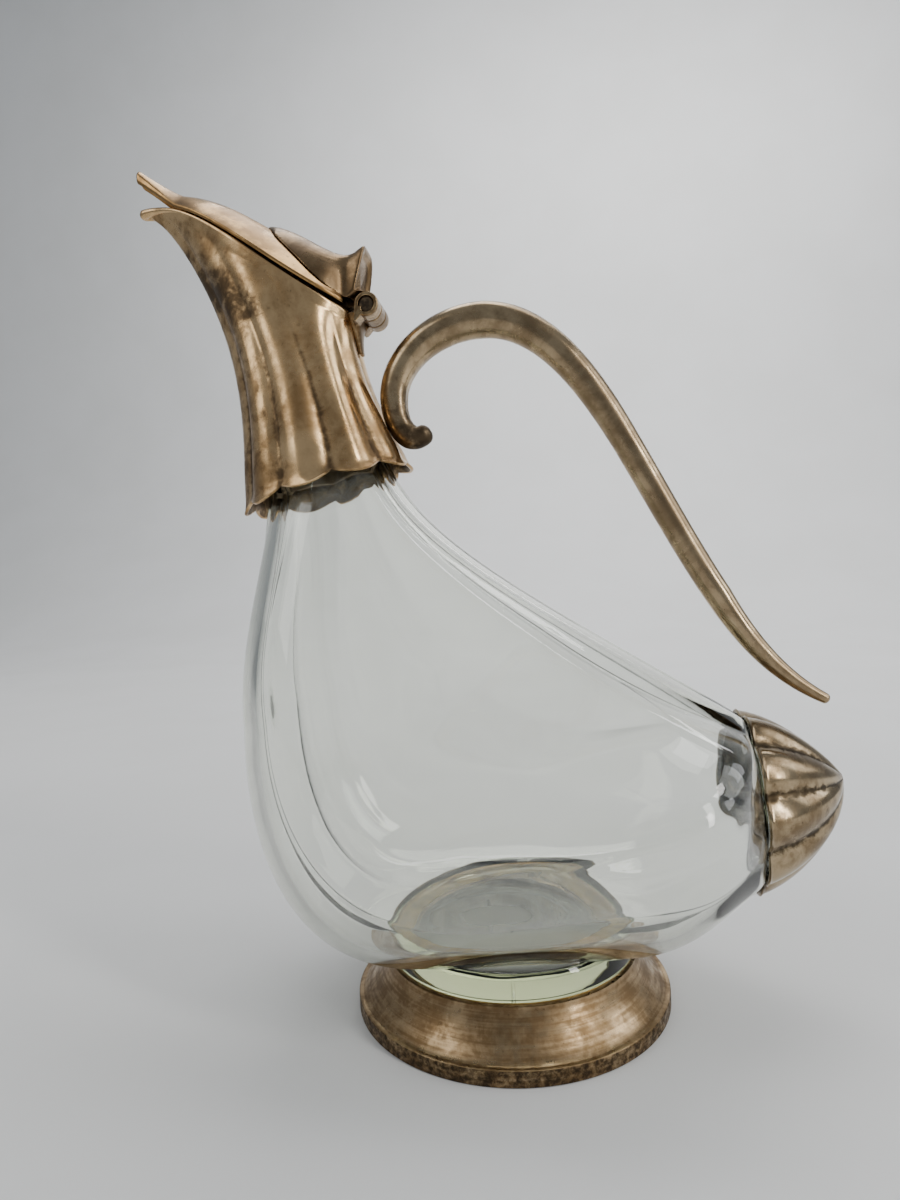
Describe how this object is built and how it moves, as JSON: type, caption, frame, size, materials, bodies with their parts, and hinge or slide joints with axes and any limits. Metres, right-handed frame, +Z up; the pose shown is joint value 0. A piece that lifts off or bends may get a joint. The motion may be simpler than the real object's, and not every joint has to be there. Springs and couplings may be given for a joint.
{
  "type": "claret jug",
  "caption": "Fluted clear glass jug on a round metal foot, with a beaked metal neck, a hinged leaf lid with a crest, a swept handle and a ribbed tail cap.",
  "frame": {"origin": "centre of the round foot on the table", "axes": "+Z up, -X towards the spout, +X towards the tail, Y across"},
  "size_m": [0.2101, 0.114, 0.2639],
  "materials": {
    "glass": "clear blown glass, polished",
    "pad_glass": "clear, thick, faintly yellow-green",
    "silver_plate": "aged silver plate, warm tarnish, polished on the high places",
    "handle_metal": "aged silver plate over a cast core, satin, more tarnished",
    "pin_metal": "dark, oxidised",
    "plaster": "matt mounting plaster"
  },
  "bodies": {
    "jug": {"glass_body": "glass", "glass_pad": "pad_glass", "foot_shell": "silver_plate", "foot_band": "silver_plate", "foot_cement": "plaster", "neck_mount": "silver_plate", "neck_cement": "plaster", "hinge_plate": "silver_plate", "knuckle_left": "silver_plate", "knuckle_right": "silver_plate", "hinge_pin": "pin_metal", "handle": "handle_metal", "tail_cap": "silver_plate", "tail_cement": "plaster"},
    "lid": {"lid_leaf": "silver_plate", "lid_crest": "silver_plate", "lid_knuckle": "silver_plate"}
  },
  "joints": [
    {"name": "lid_hinge", "type": "hinge", "parent": "jug", "child": "lid", "pos_m": [-0.0357, 0, 0.2136], "axis": [0, 1, 0], "range_deg": [0, 70]}
  ]
}
